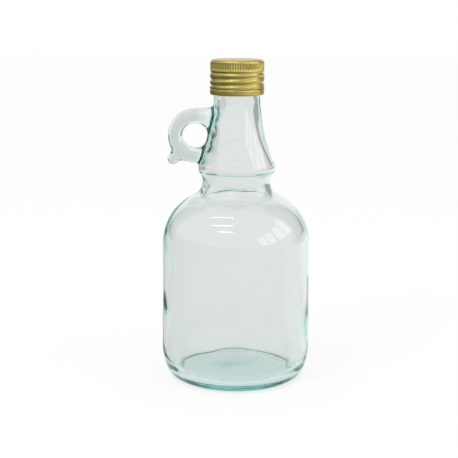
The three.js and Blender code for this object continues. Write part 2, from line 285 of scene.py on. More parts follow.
# %% [markdown]
# Two soft lamps add direction: a key at the front left and a weaker fill on the right. They are
# area lamps rather than suns, so their shadows are soft, and neither shows in the glass.

# %% Lamps


def add_lamp(name, place, size, watts):
    """A square soft lamp that looks at the middle of the jug and isn't mirrored in it."""
    lamp = bpy.data.lights.new(name, "AREA")
    lamp.size = size
    lamp.energy = watts
    holder = bpy.data.objects.new(name, lamp)
    holder.location = place
    toward = -holder.location
    toward.z += 0.1
    holder.rotation_euler = toward.to_track_quat("-Z", "Y").to_euler()
    holder.visible_glossy = False
    holder.visible_transmission = False
    bpy.context.scene.collection.objects.link(holder)


add_lamp("key_lamp", (-0.9, -0.9, 1.0), 0.5, 7)
add_lamp("fill_lamp", (1.2, -0.5, 0.7), 0.6, 3)

# %% [markdown]
# What glass and metal mirror is set up as cards, the way a product photographer hangs white and
# dark boards round a bottle: three lamp tubes overhead, a window on the right, and a dark sweep low
# in front, without which the gold would look as pale as the room. These show only in reflections.

# %% Reflected cards
ROOM_R = 1.2  # metres from the jug to the cards
ROOM_CENTRE = np.array([0.0, 0.0, 0.1])


def toward(turn, rise):
    """Unit direction from the jug. turn goes from the front to the right, both in degrees."""
    turn, rise = math.radians(turn), math.radians(rise)
    return np.array([math.sin(turn) * math.cos(rise), -math.cos(turn) * math.cos(rise), math.sin(rise)])


def add_card(name, vertices, faces, material):
    """A board that shows only in reflections, unless changed later, and casts no shadow."""
    mesh = bpy.data.meshes.new(name)
    mesh.from_pydata([tuple(v) for v in vertices], [], faces)
    mesh.materials.append(material)
    card = bpy.data.objects.new(name, mesh)
    card.visible_camera = False
    card.visible_diffuse = False
    card.visible_transmission = False
    card.visible_volume_scatter = False
    card.visible_shadow = False
    bpy.context.scene.collection.objects.link(card)
    return card


def glowing(name, strength):
    """A plain white glow."""
    material, tree = new_material(name)
    glow = add_node(tree, "ShaderNodeEmission", Color=(1, 1, 1, 1), Strength=strength)
    add_node(tree, "ShaderNodeOutputMaterial", Surface=glow.outputs[0])
    return material


def graded(name, start, end, dark, bright):
    """A white glow that rises from dark to bright between two places across the room, in metres."""
    material, tree = new_material(name)
    place = add_node(tree, "ShaderNodeTexCoord")
    split = add_node(tree, "ShaderNodeSeparateXYZ", Vector=place.outputs["Object"])
    fade = add_node(tree, "ShaderNodeMapRange", Value=split.outputs["X"], From_Min=start,
                    From_Max=end, To_Min=dark, To_Max=bright)
    glow = add_node(tree, "ShaderNodeEmission", Color=(1, 1, 1, 1), Strength=fade.outputs["Result"])
    add_node(tree, "ShaderNodeOutputMaterial", Surface=glow.outputs[0])
    return material


def add_tube(name, start, end, width, material):
    """A long thin card between two directions."""
    first, last = (ROOM_CENTRE + ROOM_R * toward(*way) for way in (start, end))
    middle = (first + last) / 2 - ROOM_CENTRE
    side = np.cross(last - first, middle)
    side *= width / 2 / np.linalg.norm(side)
    corners = [first - side, last - side, last + side, first + side]
    return add_card(name, corners, [(0, 1, 2, 3)], material)


TUBES = {"tube_high": ((-77, 60), (-12, 74)), "tube_middle": ((-53, 48), (-7, 55)),
         "tube_low": ((-36, 38.5), (-6, 41.0))}
tube_glow = glowing("tube_glow", 9.0)
for name, (start, end) in TUBES.items():
    add_tube(name, start, end, 0.05, tube_glow)
window_glow = glowing("window_glow", 3.2)
PANES = [((97, 45), (104, 17), (90, 15), (83, 39)), ((81, 38), (88, 14), (72, 12), (66, 33)),
         ((62, 32), (66, 12), (54, 9), (48, 29)), ((46, 28), (52, 8), (40, 5), (34, 24))]
for index, pane in enumerate(PANES):
    corners = [ROOM_CENTRE + ROOM_R * toward(*way) for way in pane]
    add_card(f"window_pane_{index}", corners, [(0, 1, 2, 3)], window_glow)

# %% [markdown]
# Clear glass on white would lose its edges. Photographers set grey boards behind it, just out of
# view: the edges bend the light most, so they show the boards and turn darker. Two such wings
# stand behind the jug at the left and right.

# %% Grey wings


def add_wing(name, first, last, strength):
    """A grey board behind the jug, between two turns, that its edges refract and mirror."""
    ways = [(first, -15), (last, -15), (last, 55), (first, 55)]
    corners = [ROOM_CENTRE + ROOM_R * toward(*way) for way in ways]
    card = add_card(name, corners, [(0, 1, 2, 3)], glowing(name, strength))
    card.visible_transmission = True


add_wing("grey_wing_left", -116, -148, 0.5)
add_wing("grey_wing_right", 108, 148, 0.4)

# %% [markdown]
# The ring is one thick bar with nothing behind it but white, so it would come out paler than the
# body, where the light crosses two walls. A small grey card behind it, seen only through glass,
# evens them out. Its tone is given. It fades towards the neck so that its edge doesn't show.

# %% Grey card behind the finger ring
RING_CARD_GREY = 0.76
RING_CARD_FADE = 0.012


def hang_ring_card():
    """A grey card 30 mm behind the ring, taller than it, white towards the neck."""
    low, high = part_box("finger_ring")
    behind = high.y + 0.03
    left, right = low.x - 0.006, low.x + 0.027
    bottom, top = low.z - 0.01, high.z + 0.01
    corners = [(left, behind, bottom), (right, behind, bottom), (right, behind, top), (left, behind, top)]
    grey = graded("ring_card", right - RING_CARD_FADE, right, RING_CARD_GREY, 1.0)
    card = add_card("ring_card", corners, [(0, 1, 2, 3)], grey)
    card.visible_transmission = True
    card.visible_glossy = False


hang_ring_card()

# %% [markdown]
# The dark sweep is a low board and an apron in front of the jug. Its glow rises from left to
# right, which gives the gold skirt its dark left side.

# %% Dark sweep


def make_sweep():
    """A low dark board round the front, darker on the left, standing on a dark apron."""
    near, far, high = 0.06, 0.5, 0.17
    turns = np.linspace(-165, 75, 49)
    vertices, faces = [], []
    for turn in turns:
        way = toward(turn, 0)
        vertices += [way * near, way * far, way * far + np.array([0, 0, high])]
    for i in range(len(turns) - 1):
        for low in (0, 1):
            a = 3 * i + low
            faces.append((a, a + 1, a + 4, a + 3))
    add_card("dark_sweep", vertices, faces, graded("sweep_dark", -0.35, 0.45, 0.13, 0.75))


make_sweep()

# %% [markdown]
# The floor is white paper. Most of its look is a white glow, so that it melts into the room, and
# the rest is diffuse and takes the shadow. A teal shadow is painted into the glow right under the
# jug, where light that has passed through the thick base would tint the paper, and the base shows
# that painted shadow. Tracing it as a caustic would take many more samples, so the painted shadow
# is two round fades, with colours and places given.

# %% Floor
# Colours and middle of the painted teal shadow under the jug.
PAINTED_SHADOW_PALE = (0.74, 0.87, 0.86, 1)
PAINTED_SHADOW_DEEP = (0.44, 0.72, 0.71, 1)
PAINTED_SHADOW_X, PAINTED_SHADOW_Y = -4, 16  # middle of the deeper painted shadow, behind the jug's axis and left of it


def round_fade(tree, place, start, end):
    """A socket that rises from 0 to 1 between two distances from a place, in millimetres."""
    away = add_node(tree, "ShaderNodeVectorMath", operation="LENGTH", Vector=place)
    share = add_node(tree, "ShaderNodeMapRange", Value=away.outputs["Value"], From_Min=start * MM,
                     From_Max=end * MM)
    return share.outputs["Result"]


def make_floor():
    """A wide pale floor that is nearly white to look at, takes the jug's shadow and has a painted teal
    shadow under the jug.
    """
    half = 4.0
    mesh = bpy.data.meshes.new("floor")
    mesh.from_pydata([(-half, -half, 0), (half, -half, 0), (half, half, 0), (-half, half, 0)], [],
                     [(0, 1, 2, 3)])
    floor = bpy.data.objects.new("floor", mesh)
    floor.location.z = -0.02 * MM
    bpy.context.scene.collection.objects.link(floor)
    material, tree = new_material("floor_white_painted_shadow")
    place = add_node(tree, "ShaderNodeTexCoord").outputs["Object"]
    shift = add_node(tree, "ShaderNodeMapping", Vector=place, Location=(-PAINTED_SHADOW_X * MM, -PAINTED_SHADOW_Y * MM, 0))
    # Painted teal shadow under the jug: deeper round its middle, paler out to the heel, white beyond.
    deep_painted_shadow = add_node(tree, "ShaderNodeMix", data_type="RGBA", A=PAINTED_SHADOW_DEEP, B=PAINTED_SHADOW_PALE,
                    Factor=round_fade(tree, shift.outputs["Vector"], 4, 20))
    tint = add_node(tree, "ShaderNodeMix", data_type="RGBA", A=deep_painted_shadow.outputs["Result"],
                    B=(1, 1, 1, 1), Factor=round_fade(tree, place, 33, 42))
    paper = add_node(tree, "ShaderNodeBsdfDiffuse", Color=(0.93, 0.93, 0.93, 1))
    glow = add_node(tree, "ShaderNodeEmission", Color=tint.outputs["Result"], Strength=1.0)
    mix = mix_shaders(tree, white_to_lens(tree, 0.85, 0.8), paper, glow)
    add_node(tree, "ShaderNodeOutputMaterial", Surface=mix)
    floor.data.materials.append(material)


make_floor()

# %% [markdown]
# ## Clear glass
# The glass is a plain transmitting surface with a trace of green that only shows where the light
# travels a long way through it: at the heel, the ring and the thread. That is a volume's work, so
# a Volume Absorption inside gives the colour. The surface is almost white, a trace warm and grey,
# which keeps the thin walls from turning too green.

# %% Glass material


def make_glass():
    """Faintly green soda-lime glass with a very slight orange-peel on its skin."""
    material, tree = new_material("clear_glass")
    place = add_node(tree, "ShaderNodeTexCoord").outputs["Object"]
    ripple = add_node(tree, "ShaderNodeTexNoise", Vector=place, Scale=45.0, Detail=0.0)
    bump = add_node(tree, "ShaderNodeBump", Height=ripple.outputs["Fac"], Strength=0.02, Distance=0.0005)
    skin = add_node(tree, "ShaderNodeBsdfPrincipled", Base_Color=(0.916, 0.900, 0.892, 1),
                    Roughness=0.0, IOR=1.52, Transmission_Weight=1.0, Normal=bump.outputs["Normal"])
    inside = add_node(tree, "ShaderNodeVolumeAbsorption", Color=(0.25, 0.74, 0.70, 1), Density=24.0)
    add_node(tree, "ShaderNodeOutputMaterial", Surface=skin.outputs[0], Volume=inside.outputs[0])
    return material


CLEAR_GLASS = make_glass()

# %% [markdown]
# ## Gold lacquer
# The cap is aluminium under a clear gold lacquer, printed flat as a sheet and then drawn and
# rolled. Rolling leaves fine lines round the skirt, handling leaves small scuffs, and the lacquer
# is a little thinner in places. The lines follow Object coordinates squeezed along Z.

# %% Gold material


def make_gold():
    """Satin gold lacquer on aluminium."""
    material, tree = new_material("gold_metal")
    place = add_node(tree, "ShaderNodeTexCoord").outputs["Object"]
    squeezed = add_node(tree, "ShaderNodeMapping", Vector=place, Scale=(25, 25, 1400)).outputs["Vector"]
    lines = add_node(tree, "ShaderNodeTexNoise", Vector=squeezed, Scale=1.0, Detail=2.0)
    patches = add_node(tree, "ShaderNodeTexNoise", Vector=place, Scale=180.0, Detail=3.0)
    scuffs = add_node(tree, "ShaderNodeTexNoise", Vector=place, Scale=350.0, Detail=1.0)
    tint = add_node(tree, "ShaderNodeMix", data_type="RGBA", Factor=patches.outputs["Fac"],
                    A=(0.46, 0.38, 0.105, 1), B=(0.54, 0.45, 0.145, 1))
    rough = add_node(tree, "ShaderNodeMapRange", Value=scuffs.outputs["Fac"], From_Min=0.3,
                     From_Max=0.75, To_Min=0.28, To_Max=0.36)
    bump = add_node(tree, "ShaderNodeBump", Height=lines.outputs["Fac"], Strength=0.1, Distance=0.00001)
    skin = add_node(tree, "ShaderNodeBsdfPrincipled", Base_Color=tint.outputs["Result"], Metallic=1.0,
                    Roughness=rough.outputs["Result"], Normal=bump.outputs["Normal"])
    add_node(tree, "ShaderNodeOutputMaterial", Surface=skin.outputs[0])
    return material


GOLD_METAL = make_gold()

# %% [markdown]
# ## Things that repeat
# Three things on this jug repeat round its axis: the ribs under the base, the grip ridges of the
# crown and the bridges across the cap's slit. Each is one small Geometry Nodes tree with its
# numbers as inputs, so a different count or depth is one number away. The result is kept as a
# plain mesh.

# %% Geometry Nodes helpers


def new_tree(name, **inputs):
    """A tree with a geometry in and out and further named inputs."""
    tree = bpy.data.node_groups.new(name, "GeometryNodeTree")
    tree.interface.new_socket("Geometry", in_out="INPUT", socket_type="NodeSocketGeometry")
    for label, kind in inputs.items():
        tree.interface.new_socket(label, in_out="INPUT", socket_type="NodeSocket" + kind)
    tree.interface.new_socket("Geometry", in_out="OUTPUT", socket_type="NodeSocketGeometry")
    return tree, tree.nodes.new("NodeGroupInput"), tree.nodes.new("NodeGroupOutput")


def close_tree(tree, geometry, given, out):
    """Ends a tree with Realize Instances and Set Material."""
    real = add_node(tree, "GeometryNodeRealizeInstances", Geometry=geometry)
    finish = add_node(tree, "GeometryNodeSetMaterial", Geometry=real.outputs[0],
                      Material=given.outputs["Material"])
    tree.links.new(finish.outputs[0], out.inputs[0])


def grow(made, tree, **values):
    """Runs a tree on an object with its inputs set, and keeps the result as a plain mesh."""
    step = made.modifiers.new(tree.name, "NODES")
    step.node_group = tree
    for item in tree.interface.items_tree:
        if item.in_out == "INPUT" and item.name in values:
            step[item.identifier] = values[item.name]
    return settle(made)


# %% A ring of copies


def ring_of(name, shape, size_of):
    """A tree that sets Count copies of a shape on a circle, each turned with it."""
    tree, given, out = new_tree(name, Count="Int", Radius="Float", Height="Float", Turn="Float",
                                Size="Vector", Material="Material")
    circle = add_node(tree, "GeometryNodeMeshCircle", Vertices=given.outputs["Count"],
                      Radius=given.outputs["Radius"])
    place = add_node(tree, "ShaderNodeCombineXYZ", Z=given.outputs["Height"])
    turn = add_node(tree, "ShaderNodeCombineXYZ", Z=given.outputs["Turn"])
    moved = add_node(tree, "GeometryNodeTransform", Geometry=circle.outputs[0],
                     Translation=place.outputs[0], Rotation=turn.outputs[0])
    where = add_node(tree, "GeometryNodeInputPosition")
    split = add_node(tree, "ShaderNodeSeparateXYZ", Vector=where.outputs[0])
    facing = calculate(tree, "ARCTAN2", split.outputs["Y"], split.outputs["X"])
    angle = add_node(tree, "ShaderNodeCombineXYZ", Z=facing)
    copy = add_node(tree, shape)
    if size_of == "Scale":
        copy = add_node(tree, "GeometryNodeTransform", Geometry=copy.outputs[0],
                        Scale=given.outputs["Size"])
    else:
        tree.links.new(given.outputs["Size"], copy.inputs[size_of])
    copies = add_node(tree, "GeometryNodeInstanceOnPoints", Points=moved.outputs[0],
                      Instance=copy.outputs[0], Rotation=angle.outputs[0])
    both = add_node(tree, "GeometryNodeJoinGeometry")
    tree.links.new(given.outputs["Geometry"], both.inputs[0])
    tree.links.new(copies.outputs[0], both.inputs[0])
    close_tree(tree, both.outputs[0], given, out)
    return tree


# %% [markdown]
# ## The glass outline
# A mould maker draws half of the jug: hollow base, tall rounded heel, contact band, label panel,
# shoulder, pinched waist, bead, bell-shaped neck and threaded finish. The rounds touch one another,
# so each centre follows from the radii, and the same function moved inwards gives the cavity.

# %% Outline of the neck
BODY_R = 43.6
BODY_WALL = 3.3
SHOULDER_ARC = 31.0
SHOULDER_Z = 81.0
PINCH_R = 20.05
PINCH_ARC = 9.95
BEAD_R = 22.6
BEAD_UNDER = 5.0
BEAD_OVER = 10.0
BEAD_HOLLOW = 7.0
NECK_R = 13.65
BORE_R = 9.75
NECK_DOWN = 17.5  # from the lip to the top of the bell

SHOULDER_CENTRE = BODY_R - SHOULDER_ARC
PINCH_CENTRE = PINCH_R + PINCH_ARC
HOLLOW_CENTRE = PINCH_R + BEAD_HOLLOW
UNDER_CENTRE = BEAD_R - BEAD_UNDER
OVER_CENTRE = BEAD_R - BEAD_OVER


def touching(radius, apart):
    """Rise between the centres of two rounds that touch, from the sum of their radii."""
    return math.sqrt(radius ** 2 - apart ** 2)


PINCH_Z = SHOULDER_Z + touching(SHOULDER_ARC + PINCH_ARC, PINCH_CENTRE - SHOULDER_CENTRE)
BEAD_Z = PINCH_Z + touching(BEAD_HOLLOW + BEAD_UNDER, HOLLOW_CENTRE - UNDER_CENTRE)
NECK_Z = LIP_Z - NECK_DOWN
BELL_H = NECK_Z - BEAD_Z


def bell_arc(top_r, bead):
    """Radius of the hollow round that is upright at the neck's top and touches the bead."""
    across = top_r - OVER_CENTRE
    return (across ** 2 + BELL_H ** 2 - bead ** 2) / (2 * (bead - across))


def bell_radius(z):
    """Outside radius of the bell at a height."""
    bell = bell_arc(NECK_R, BEAD_OVER)
    return NECK_R + bell - np.sqrt(bell ** 2 - np.clip(NECK_Z - z, 0, BELL_H) ** 2)


def neck_outline(inset, top_r, fine=1.0):
    """The rounds from shoulder to neck, moved inwards by inset."""
    rise = PINCH_Z - SHOULDER_Z
    shoulder_end = math.degrees(math.atan2(rise, PINCH_CENTRE - SHOULDER_CENTRE))
    bead_meet = math.degrees(math.atan2(BEAD_Z - PINCH_Z, UNDER_CENTRE - HOLLOW_CENTRE))
    bell = bell_arc(top_r, BEAD_OVER - inset)
    bell_meet = math.degrees(math.atan2(BELL_H, top_r + bell - OVER_CENTRE))

    def round_of(centre, z, radius, start, end):
        steps = max(4, int(fine * radius * abs(math.radians(end - start)) / 0.9))
        return arc(centre, z, radius, radius, start, end, steps)

    return chained(
        round_of(SHOULDER_CENTRE, SHOULDER_Z, SHOULDER_ARC - inset, 0, shoulder_end),
        round_of(PINCH_CENTRE, PINCH_Z, PINCH_ARC + inset, shoulder_end + 180, 180),
        round_of(HOLLOW_CENTRE, PINCH_Z, BEAD_HOLLOW + inset, 180, bead_meet),
        round_of(UNDER_CENTRE, BEAD_Z, BEAD_UNDER - inset, bead_meet - 180, 0),
        round_of(OVER_CENTRE, BEAD_Z, BEAD_OVER - inset, 0, bell_meet),
        round_of(top_r + bell, NECK_Z, bell, bell_meet + 180, 180),
    )


print(f"pinch at {PINCH_Z:.1f} mm, bead at {BEAD_Z:.1f} mm, bell {BELL_H:.1f} mm tall")

# %% [markdown]
# ## The thread
# The finish carries one ridge that winds 1.6 turns up the glass, right-handed, 3.5 mm for each
# turn. A sweep along a helix would need its ends blended in by hand. Here the turned outline is
# pushed out wherever a point lies near the helix, and fades out at both ends, as a mould does.

# %% Helix rule
PITCH = 3.5
THREAD_TURNS = 1.6
THREAD_Z = LIP_Z - 7.3
THREAD_TOP = 180.0  # degrees round the axis to its highest point
RIDGE = 1.0
BARREL_R = 14.2
LOCK_Z = LIP_Z - 15.6
LOCK_HALF = 1.1


def helix_share(angle, z, top, turns, half):
    """1 on the helix's middle line, falling to 0 at half a width away and at its two ends."""
    degrees = np.degrees(angle)
    first = THREAD_Z + (top - THREAD_TOP) * PITCH / 360
    share = np.zeros_like(degrees)
    for lap in range(-4, 5):
        past = degrees + 360 * lap - top
        from_end = np.minimum(-past, past + 360 * turns)
        away = np.abs(z - first - past * PITCH / 360) / half
        ridge = np.where(away < 1, np.cos(np.clip(away, 0, 1) * math.pi / 2) ** 2, 0)
        share = np.maximum(share, ridge * np.clip(from_end / 25, 0, 1))
    return share


# %% [markdown]
# ## The outside of the glass
# The body is turned in one go, from the hollow base to the lip. The base stands on a narrow ring
# that is stippled with short ribs, so that the hot glass doesn't stick to the conveyor. The rings
# of points lie closer together on the finish, where the thread needs them.

# %% Turn the outside
HEEL_H = 18.0
HEEL_REACH = 7.6
BAND_Z = 30.0
PANEL_Z = 55.0
BEARING_W = 3.4
PUSH_UP = 5.0
RIB_STAND = 0.5  # the ring between the ribs lies this much above the table
BEARING_OUT = HEEL_R - HEEL_REACH
BEARING_IN = BEARING_OUT - BEARING_W


def outside_outline():
    """The jug's outside, from the middle of the hollow base to the middle of the lip."""
    ease = np.linspace(0, 1, 25)
    panel = np.stack([HEEL_R - (HEEL_R - BODY_R) * (3 * ease ** 2 - 2 * ease ** 3),
                      BAND_Z + (PANEL_Z - BAND_Z) * ease], 1)
    share = np.linspace(0, 1, 31)
    dome = np.stack([BEARING_IN * share, RIB_STAND + PUSH_UP * np.cos(share * math.pi / 2) ** 2], 1)
    across = np.linspace(0, 1, 9)
    bearing = np.stack([BEARING_IN + BEARING_W * across,
                        RIB_STAND - 0.3 * np.sin(across * math.pi)], 1)
    return chained(
        dome,
        bearing,
        arc(BEARING_OUT, HEEL_H, HEEL_REACH, HEEL_H - RIB_STAND, -90, 0, 34),
        straight((HEEL_R, HEEL_H), (HEEL_R, BAND_Z), 8),
        panel,
        straight((BODY_R, PANEL_Z), (BODY_R, SHOULDER_Z), 16),
        neck_outline(0, NECK_R),
        arc(NECK_R, LOCK_Z, BARREL_R + RIDGE - NECK_R, LOCK_HALF, -90, 0, 6),
        arc(BARREL_R, LOCK_Z, RIDGE, LOCK_HALF, 0, 90, 6),
        straight((BARREL_R, LOCK_Z + LOCK_HALF), (BARREL_R, LIP_Z - 1), 44),
        arc(BARREL_R - 1, LIP_Z - 1, 1, 1, 0, 90, 8),
        straight((BARREL_R - 1, LIP_Z), (0, LIP_Z), 2),
    )


def thread_on_glass(angle, z, radius):
    """Pushes the finish out along the thread."""
    if z <= LOCK_Z + LOCK_HALF or z > LIP_Z - 1:
        return radius
    return radius + RIDGE * helix_share(angle, z, THREAD_TOP, THREAD_TURNS, 1.0)


jug = revolve("jug_glass", outside_outline(), 188, thread_on_glass)
print("outside of the glass:", len(jug.data.polygons), "faces")

# %% [markdown]
# The ribs are stretched balls set in a ring and joined to the glass with a Boolean union. Only
# their lower caps stand out. Pushing the turned outline in and out by angle would do it too, but
# would need several points for each rib over the whole height.

# %% Ribs of the bearing ring
RIBS = 96
RIB_SIZE = (BEARING_W / 2 + 0.3, 0.65, 0.8)  # half length, half width, half height


def make_ribs():
    """Short rounded ribs that stand out under the bearing ring, down to the table."""
    tree = ring_of("bearing_ribs", "GeometryNodeMeshUVSphere", "Scale")
    for node in tree.nodes:
        if node.bl_idname == "GeometryNodeMeshUVSphere":
            node.inputs["Segments"].default_value = 12
            node.inputs["Rings"].default_value = 7
    ribs = new_object("bearing_ribs", [(0, 0, 0)], [])
    return grow(ribs, tree, Count=RIBS, Radius=(BEARING_OUT - BEARING_W / 2) * MM,
                Height=RIB_SIZE[2] * MM, Turn=0.0, Size=[MM * side for side in RIB_SIZE],
                Material=CLEAR_GLASS)


combine(jug, make_ribs(), "UNION")
print("with", RIBS, "ribs:", len(jug.data.polygons), "faces")

# %% [markdown]
# ## The finger ring
# The ring is a round bar that leaves the neck level, goes round the hole and comes back to the
# bead, with a curled knob at its lower corner. Beside the neck, full round corners close the hole
# to a circle. Glass has no seams:
# each of these flows into the next. So the ring is written as a distance rule, where a smooth
# minimum of several distances gives soft fillets, and a coarse skin is pulled onto that rule.

# %% Distance rule for the ring
HOLE_R = 7.4
BAR_R = 4.325
RING_DOWN = 24.5
WEB_R = 3.4  # half thickness of the corners beside the neck
TAIL_TURN = 226.5
TAIL_OUT = 3.2
TAIL_R = 3.1
TAIL_ROOT_R = 3.9
ARM_IN = 1.5  # how deep both arms are let into the neck's wall
RING_MIDDLE = HOLE_R + BAR_R
RING_Z = NECK_Z - RING_DOWN
RING_X = -(float(bell_radius(RING_Z)) + 0.2 + HOLE_R)
SKIN_UNDER = 0.05  # the ring's copy of the neck lies this much under the real one


def arm_end(z):
    """Where an arm ends inside the neck's wall."""
    return ARM_IN - float(bell_radius(z))


def blend(first, second, width):
    """The lesser of two distances, rounded off over a width."""
    share = np.clip(0.5 + 0.5 * (second - first) / width, 0, 1)
    return second + (first - second) * share - width * share * (1 - share)


def bar_distance(x, y, z):
    """Distance to the round bar, with its two level arms let into the neck's wall."""
    arm_top = arm_end(RING_Z + RING_MIDDLE) - RING_X
    arm_low = arm_end(RING_Z - RING_MIDDLE) - RING_X
    beyond = np.maximum(0, x - np.where(z > 0, arm_top, arm_low))
    off = np.where(x < 0, np.hypot(x, z), np.abs(z)) - RING_MIDDLE
    thicker = 0.9 * np.clip(x / arm_top, 0, 1) ** 2
    return np.sqrt(off ** 2 + y ** 2 + beyond ** 2) - BAR_R - thicker


def tail_distance(x, y, z):
    """Distance to the tapered stub with the round knob."""
    along = np.array([math.cos(math.radians(TAIL_TURN)), math.sin(math.radians(TAIL_TURN))])
    length = BAR_R + TAIL_OUT
    way = np.clip((x * along[0] + z * along[1] - RING_MIDDLE) / length, 0, 1)
    nearest = RING_MIDDLE + way * length
    radius = TAIL_ROOT_R + (TAIL_R - TAIL_ROOT_R) * way
    return np.sqrt((x - nearest * along[0]) ** 2 + y ** 2 + (z - nearest * along[1]) ** 2) - radius


def corner_distance(x, y, z):
    """Distance to the corners beside the neck, which close the hole to a true circle."""
    around = np.hypot(np.hypot(x, z) - HOLE_R - WEB_R, y) - WEB_R
    return np.maximum(around, -x - 2)


def ring_rule(points):
    """Below zero inside the glass of ring and neck. Points are in millimetres."""
    x, y, z = points[:, 0] - RING_X, points[:, 1], points[:, 2] - RING_Z
    ring = blend(bar_distance(x, y, z), tail_distance(x, y, z), 3.5)
    ring = blend(ring, corner_distance(x, y, z), 1.5)
    wall = (np.hypot(points[:, 0], points[:, 1]) - bell_radius(points[:, 2])) * 0.97 + SKIN_UNDER
    return blend(ring, wall, 2.2)


def pull_onto(points, rule, rounds=8, step=0.02):
    """Moves points along the rule's slope until they lie on its surface."""
    for _ in range(rounds):
        value = rule(points)
        slope = np.empty_like(points)
        for axis in range(3):
            ahead = points.copy()
            ahead[:, axis] += step
            slope[:, axis] = (rule(ahead) - value) / step
        size = np.maximum((slope ** 2).sum(1), 0.25)
        points = points - np.clip(value / size, -0.5, 0.5)[:, None] * slope
    return points


# %% [markdown]
# A coarse skin comes from a turned piece of neck, a bar, a ring and two balls, melted together by
# voxel Remesh. Only its connections matter: every point is then pulled onto the rule above, so no
# voxel steps are left.

# %% Make the ring
SKIN_LOW = BEAD_Z + 1.5
SKIN_HIGH = NECK_Z - 1.0
VOXEL = 0.58
RELAX_ROUNDS = 14


def bar_blank():
    """A round bar along the ring's path, a little thicker than the real one."""
    turn = np.radians(np.linspace(90, 270, 40))
    ring = np.stack([RING_X + RING_MIDDLE * np.cos(turn), RING_Z + RING_MIDDLE * np.sin(turn)], 1)
    top, low = [[[arm_end(z), z]] for z in (RING_Z + RING_MIDDLE, RING_Z - RING_MIDDLE)]
    path = np.concatenate([top, ring, low])
    curve = bpy.data.curves.new("ring_blank", "CURVE")
    curve.dimensions = "3D"
    curve.bevel_depth = BAR_R * MM
    curve.bevel_resolution = 6
    curve.use_fill_caps = True
    line = curve.splines.new("POLY")
    line.points.add(len(path) - 1)
    for point, (x, z) in zip(line.points, path):
        point.co = (x * MM, 0, z * MM, 1)
    made = bpy.data.objects.new("ring_blank", curve)
    bpy.context.scene.collection.objects.link(made)
    graph = bpy.context.evaluated_depsgraph_get()
    mesh = bpy.data.meshes.new_from_object(made.evaluated_get(graph))
    bpy.data.objects.remove(made)
    blank = bpy.data.objects.new("ring_blank", mesh)
    bpy.context.scene.collection.objects.link(blank)
    return blank


def ball_blank(x, z, radius):
    """A round ball where the knob will be."""
    turned = revolve("knob_blank", arc(0, 0, radius, radius, -90, 90, 12), 24)
    for vertex in turned.data.vertices:
        vertex.co.x += x * MM
        vertex.co.z += z * MM
    return turned


def corner_blank():
    """A ring round the hole. Only its half beside the neck stands clear of the bar."""
    turned = revolve("corner_blank", arc(HOLE_R + WEB_R, 0, WEB_R, WEB_R, 0, 360, 16), 64)
    for vertex in turned.data.vertices:
        x, y, z = vertex.co
        vertex.co = (x + RING_X * MM, z, RING_Z * MM - y)
    return turned


def make_ring():
    """The finger ring with its own piece of neck, as one closed skin."""
    heights = np.linspace(SKIN_LOW, SKIN_HIGH, 30)
    neck = np.stack([bell_radius(heights) - SKIN_UNDER, heights], 1)
    core = revolve("ring_skin", chained([[0, SKIN_LOW]], neck, [[0, SKIN_HIGH]]), 96)
    tail = RING_MIDDLE + BAR_R + TAIL_OUT
    knob_x = RING_X + tail * math.cos(math.radians(TAIL_TURN))
    knob_z = RING_Z + tail * math.sin(math.radians(TAIL_TURN))
    half_way = ball_blank((RING_X + knob_x) / 2 - 3, (RING_Z + knob_z) / 2 - 3, 3.4)
    blanks = [bar_blank(), corner_blank(), ball_blank(knob_x, knob_z, TAIL_R), half_way]
    for blank in blanks:
        with bpy.context.temp_override(active_object=core, selected_editable_objects=[core, blank]):
            bpy.ops.object.join()
    melt = core.modifiers.new("melt", "REMESH")
    melt.mode = "VOXEL"
    melt.voxel_size = VOXEL * MM
    settle(core)
    count = len(core.data.vertices)
    places = np.empty(count * 3)
    core.data.vertices.foreach_get("co", places)
    places = places.reshape(-1, 3) / MM
    ends = np.empty(len(core.data.edges) * 2, dtype=int)
    core.data.edges.foreach_get("vertices", ends)
    first, second = ends.reshape(-1, 2).T
    joined = np.bincount(ends, minlength=count)[:, None]
    free = (places[:, 2] > SKIN_LOW + 1) & (places[:, 2] < SKIN_HIGH - 1)
    for _ in range(RELAX_ROUNDS):
        nearby = np.zeros_like(places)
        np.add.at(nearby, first, places[second])
        np.add.at(nearby, second, places[first])
        places[free] = 0.4 * places[free] + 0.6 * (nearby / joined)[free]
        places[free] = pull_onto(places[free], ring_rule, 3)
    places[free] = pull_onto(places[free], ring_rule)
    core.data.vertices.foreach_set("co", (places * MM).ravel())
    core.data.update()
    print("ring skin:", count, "points, furthest from the rule",
          f"{np.abs(ring_rule(places[free])).max():.3f} mm")
    return core


ring = make_ring()
combine(jug, ring, "UNION")
print("jug with ring:", len(jug.data.polygons), "faces")

# %% [markdown]
# ## The cavity
# The space inside follows the outside, a wall's thickness in. Blown glass is never quite even
# inside: the wall swells and thins a little, most of all behind the solid ring, and that is what
# bends the light into streaks. A sum of a few slow waves gives the same unevenness on every run.

# %% Cut the cavity


def uneven(angle, z, radius):
    """Slow swelling of the inner wall, strongest in the neck behind the ring."""
    wave = 0.16 * np.sin(2 * angle + z / 17) + 0.12 * np.sin(3 * angle - z / 9 + 1.3)
    wave += 0.10 * np.sin(7 * angle + z / 6 + 0.4)
    if z > LIP_Z - 20 or z < 12:
        return radius + 0.3 * wave
    behind = np.exp(-((np.mod(angle, 2 * math.pi) - math.pi) / 0.55) ** 2)
    near_ring = math.exp(-((z - RING_Z + 8) / 26) ** 2)
    folds = 0.5 * np.sin(z / 1.6 + 2 * angle) + 0.3 * math.sin(z / 3.4 + 1)
    return radius + wave + behind * near_ring * (folds - 0.4)


